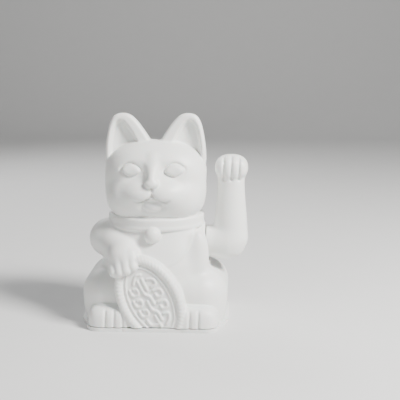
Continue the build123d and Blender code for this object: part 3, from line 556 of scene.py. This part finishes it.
def piece(name, mesh, material, node, body):
    """An object that stands for a CAD node and rides on its body."""
    bmesh.ops.recalc_face_normals(mesh, faces=mesh.faces)
    data = bpy.data.meshes.new(name)
    mesh.to_mesh(data)
    data.shade_smooth()
    data.set_sharp_from_angle(angle=math.radians(50))
    data.materials.append(material)
    thing = bpy.data.objects.new(name, data)
    bpy.context.scene.collection.objects.link(thing)
    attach(thing, body)
    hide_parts(node)
    return thing


# ---- materials -----------------------------------------------------------------------------------


class Paint:
    """A Principled material with the few nodes that the finishes here share."""

    def __init__(self, name, colour, roughness, **sockets):
        self.material = bpy.data.materials.new(name)
        self.material.use_nodes = True
        self.tree = self.material.node_tree
        self.shader = self.tree.nodes["Principled BSDF"]
        self.shader.inputs["Base Color"].default_value = (*colour, 1)
        self.shader.inputs["Roughness"].default_value = roughness
        for socket, value in sockets.items():
            self.shader.inputs[socket.replace("_", " ")].default_value = value
        self.place = self.tree.nodes.new("ShaderNodeTexCoord").outputs["Object"]
        self.height = None

    def link(self, start, end):
        self.tree.links.new(start, end)

    def noise(self, scale, detail=3.0, stretch=(1, 1, 1)):
        """Noise with features about 1/scale metres wide, stretched along an axis where asked."""
        mapping = self.tree.nodes.new("ShaderNodeMapping")
        mapping.inputs["Scale"].default_value = stretch
        self.link(self.place, mapping.inputs["Vector"])
        node = self.tree.nodes.new("ShaderNodeTexNoise")
        node.inputs["Scale"].default_value = scale
        node.inputs["Detail"].default_value = detail
        self.link(mapping.outputs["Vector"], node.inputs["Vector"])
        return node.outputs["Fac"]

    def bands(self, scale, axis="Z", distortion=0.0):
        """Even stripes across an axis."""
        node = self.tree.nodes.new("ShaderNodeTexWave")
        node.wave_type = "BANDS"
        node.bands_direction = axis
        node.inputs["Scale"].default_value = scale
        node.inputs["Distortion"].default_value = distortion
        self.link(self.place, node.inputs["Vector"])
        return node.outputs["Fac"]

    def spread(self, value, low, high, start=0.0, end=1.0):
        """Maps a value from low..high to start..end."""
        node = self.tree.nodes.new("ShaderNodeMapRange")
        self.link(value, node.inputs["Value"])
        for socket, number in zip(("From Min", "From Max", "To Min", "To Max"), (low, high, start, end)):
            node.inputs[socket].default_value = number
        return node.outputs["Result"]

    def tint(self, value, first, second):
        """Base colour that runs from the first colour to the second with the value."""
        ramp_node = self.tree.nodes.new("ShaderNodeValToRGB")
        ramp_node.color_ramp.elements[0].color = (*first, 1)
        ramp_node.color_ramp.elements[1].color = (*second, 1)
        self.link(value, ramp_node.inputs["Fac"])
        self.link(ramp_node.outputs["Color"], self.shader.inputs["Base Color"])

    def bump(self, value, depth, strength=1.0):
        """Relief of a depth in metres. Calls follow one another on the same surface."""
        node = self.tree.nodes.new("ShaderNodeBump")
        node.inputs["Distance"].default_value = depth
        node.inputs["Strength"].default_value = strength
        self.link(value, node.inputs["Height"])
        if self.height:
            self.link(self.height, node.inputs["Normal"])
        self.height = node.outputs["Normal"]
        self.link(self.height, self.shader.inputs["Normal"])


def moulded(name, colour, roughness, shade=0.94, **sockets):
    """Moulded plastic: faint clouding in its colour, flow marks in its gloss, and a fine grain."""
    paint = Paint(name, colour, roughness, **sockets)
    clouds = paint.spread(paint.noise(38, 4), 0.3, 0.7)
    paint.tint(clouds, tuple(shade * part for part in colour), colour)
    gloss = paint.spread(paint.noise(90, 5, (1, 1, 0.4)), 0.3, 0.7, roughness - 0.05, roughness + 0.06)
    paint.link(gloss, paint.shader.inputs["Roughness"])
    paint.bump(paint.noise(260, 2), 0.00012, 0.35)
    paint.bump(paint.noise(2600, 2), 0.00003, 0.5)
    return paint.material


def metal(name, colour, roughness, stretch=(1, 1, 1), scale=1500):
    """Bare or plated metal with fine marks along the way it was worked."""
    paint = Paint(name, colour, roughness, Metallic=1.0)
    marks = paint.noise(scale, 4, stretch)
    paint.tint(paint.spread(marks, 0.3, 0.7), tuple(0.8 * part for part in colour), colour)
    gloss = paint.spread(marks, 0.3, 0.7, roughness - 0.07, roughness + 0.1)
    paint.link(gloss, paint.shader.inputs["Roughness"])
    paint.bump(marks, 0.00003, 0.5)
    return paint.material


def winding():
    """Enamelled copper wire in even turns, with painted shade darkening the grooves between turns."""
    paint = Paint("copper_winding", (0.62, 0.25, 0.10), 0.3, Metallic=1.0, Coat_Weight=0.6)
    turns_and_groove_shade = paint.bands(500, "Z", 0.6)
    # painted shade: the bands tint the grooves between turns dark brown, and the same bands give the turns their
    # relief
    paint.tint(turns_and_groove_shade, (0.22, 0.07, 0.03), (0.72, 0.31, 0.13))
    paint.bump(turns_and_groove_shade, 0.00012)
    return paint.material


def laminate():
    """Phenolic board with its paper fibres."""
    paint = Paint("board_laminate", (0.40, 0.25, 0.11), 0.5)
    fibres = paint.noise(700, 5, (0.15, 1, 1))
    paint.tint(paint.spread(fibres, 0.35, 0.65), (0.30, 0.18, 0.08), (0.46, 0.30, 0.14))
    paint.bump(fibres, 0.00003, 0.6)
    return paint.material


def striped(name, base, stripe, scale, axis, roughness):
    """Printed or dipped bands across an axis, as on a plain wrap or a resistor."""
    paint = Paint(name, base, roughness, Coat_Weight=0.3)
    bands = paint.bands(scale, axis)
    paint.tint(paint.spread(bands, 0.72, 0.80), base, stripe)
    paint.bump(paint.noise(900, 3), 0.00003, 0.6)
    return paint.material


WHITE = (0.800, 0.806, 0.780)
SOFT = dict(Subsurface_Weight=0.12, Subsurface_Scale=0.002, Coat_Weight=0.05, Coat_Roughness=0.4)
body_paint = moulded("satin_white", WHITE, 0.46, 0.95, **SOFT)
arm_paint = moulded("satin_white_arm", WHITE, 0.44, 0.95, **SOFT)
base_paint = moulded("satin_white_base", (0.78, 0.785, 0.765), 0.5, 0.93, **SOFT)
finishes = {
    "base_white": base_paint,
    "natural_nylon": moulded(
        "natural_nylon", (0.66, 0.64, 0.55), 0.42, 0.88, Subsurface_Weight=0.2, Subsurface_Scale=0.002
    ),
    "bush_brass": metal("turned_brass", (0.76, 0.56, 0.25), 0.3, (1, 0.2, 0.2)),
    "axle_steel": metal("ground_steel", (0.60, 0.60, 0.61), 0.25, (1, 0.15, 0.15), 2500),
    "screw_steel": metal("zinc_plate", (0.62, 0.62, 0.58), 0.36),
    "weight_steel": metal("plated_steel", (0.50, 0.50, 0.51), 0.38, (0.3, 1, 1)),
    "magnet_nickel": metal("bright_nickel", (0.68, 0.67, 0.64), 0.15),
    "contact_nickel": metal("nickel_strip", (0.67, 0.66, 0.62), 0.28, (1, 0.1, 1)),
    "coil_copper": winding(),
    "board_laminate": laminate(),
    "capacitor_sleeve": striped("capacitor_sleeve", (0.03, 0.04, 0.09), (0.45, 0.46, 0.48), 60, "X", 0.3),
    "transistor_black": moulded("transistor_black", (0.025, 0.025, 0.027), 0.5, 0.7),
    "resistor_beige": striped("resistor_bands", (0.62, 0.48, 0.30), (0.25, 0.09, 0.04), 260, "X", 0.35),
    "cell_steel": metal("drawn_can", (0.66, 0.66, 0.65), 0.25, (0.1, 1, 1)),
    "cell_wrap": striped("plain_wrap", (0.06, 0.20, 0.13), (0.55, 0.56, 0.52), 16, "X", 0.25),
    "lead_red": moulded("lead_red", (0.50, 0.04, 0.03), 0.42, 0.85),
    "lead_black": moulded("lead_black", (0.03, 0.03, 0.03), 0.42, 0.7),
}
slots = {row["node"]: row["material_slot"] for row in frame["record"]["subparts"]}
for name, thing in frame["nodes"].items():
    if slots[name] in finishes:
        if not thing.data.materials:
            thing.data.materials.append(None)
        for number in range(len(thing.data.materials)):
            thing.data.materials[number] = finishes[slots[name]]

# ---- sculpted pieces -----------------------------------------------------------------------------

FINE, COARSE = ((0.7, 1.8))
MARGIN, ARM_REACH_Y = 3.0, 18

body_low = np.array([SHELL_LOW[0] - MARGIN, SHELL_LOW[1] - 2 * MARGIN, SHELL_BOTTOM - MARGIN])
body_high = np.array([SHELL_HIGH[0] + MARGIN, box_mm("rear_shell")[1][1] + MARGIN, SHELL_HIGH[2] + MARGIN])
body = solid(
    surface(figure, body_low, body_high, FINE),
    surface(figure_hollow, body_low, body_high, COARSE),
)
body = cut(body, (0, 0, SHELL_BOTTOM), (0, 0, -1))
piece("front_body", cut(body, (0, 0, 0), (0, 1, 0)), body_paint, "front_shell", "figure")
piece("rear_body", cut(body, (0, 0, 0), (0, -1, 0)), body_paint, "rear_shell", "figure")

arm_low, arm_high = ARM_LOW - MARGIN, ARM_HIGH + MARGIN
arm_low[1], arm_high[1] = -ARM_REACH_Y, ARM_REACH_Y
arm = solid(
    surface(raised_arm, arm_low, arm_high, FINE),
    surface(lambda p: raised_arm(p, ARM_WALL), arm_low, arm_high, COARSE),
)
piece("front_arm", cut(arm, (0, 0, 0), (0, 1, 0)), arm_paint, "arm_front_half", "waving_arm")
piece("rear_arm", cut(arm, (0, 0, 0), (0, -1, 0)), arm_paint, "arm_rear_half", "waving_arm")

# ---- floor, light and camera ---------------------------------------------------------------------


def floor():
    """A pale sweep that runs from the floor up behind the object."""
    paint = moulded("pale_paper", (0.66, 0.66, 0.655), 0.8, 0.985)
    mesh = bmesh.new()
    reach, back, bend, top = 1.6, 1.1, 0.5, 1.6
    line = [(-reach, 0.0), (back, 0.0)]
    for angle in np.linspace(0.1, math.pi / 2, 14):
        line.append((back + bend * math.sin(angle), bend * (1 - math.cos(angle))))
    line += [(back + bend, top)]
    rows = [[mesh.verts.new((side * reach, y, z)) for y, z in line] for side in (-1, 1)]
    for number in range(len(line) - 1):
        mesh.faces.new((rows[0][number], rows[1][number], rows[1][number + 1], rows[0][number + 1]))
    data = bpy.data.meshes.new("floor")
    mesh.to_mesh(data)
    data.shade_smooth()
    data.materials.append(paint)
    thing = bpy.data.objects.new("floor", data)
    bpy.context.scene.collection.objects.link(thing)


def lamp(name, place, aim, size, power, colour=(1, 1, 1)):
    data = bpy.data.lights.new(name, "AREA")
    data.size = size
    data.energy = power
    data.color = colour
    thing = bpy.data.objects.new(name, data)
    thing.location = place
    thing.rotation_euler = (Vector(aim) - Vector(place)).to_track_quat("-Z", "Y").to_euler()
    bpy.context.scene.collection.objects.link(thing)


def camera():
    """Stands 0.62 m away, above head height, and aims between the trunk's middle and the raised arm."""
    distance, middle = 0.620, Vector((0, 0, 0.075))

    def direction(azimuth, elevation):
        turn, rise = math.radians(azimuth), math.radians(elevation)
        return Vector((math.sin(turn) * math.cos(rise), -math.cos(turn) * math.cos(rise), math.sin(rise)))

    data = bpy.data.cameras.new("camera")
    data.sensor_width = 36
    data.lens = 75.84
    data.clip_start = 0.01
    thing = bpy.data.objects.new("camera", data)
    thing.location = middle + distance * direction(6.0, 12.0)
    thing.rotation_euler = (-direction(2.99, 10.96)).to_track_quat("-Z", "Y").to_euler()
    bpy.context.scene.collection.objects.link(thing)
    bpy.context.scene.camera = thing


def sky():
    world = bpy.data.worlds.new("studio")
    world.use_nodes = True
    world.node_tree.nodes["Background"].inputs["Color"].default_value = (0.86, 0.88, 0.92, 1)
    world.node_tree.nodes["Background"].inputs["Strength"].default_value = 0.17
    bpy.context.scene.world = world


floor()
aim = (0, 0, 0.08)
lamp("key", (0.62, -0.34, 0.70), aim, 0.26, 27.0, (1.0, 0.985, 0.96))
lamp("fill", (-0.60, -0.75, 0.45), aim, 0.6, 3.0)
lamp("rim", (-0.35, 0.60, 0.55), aim, 0.5, 3.5)
camera()
sky()
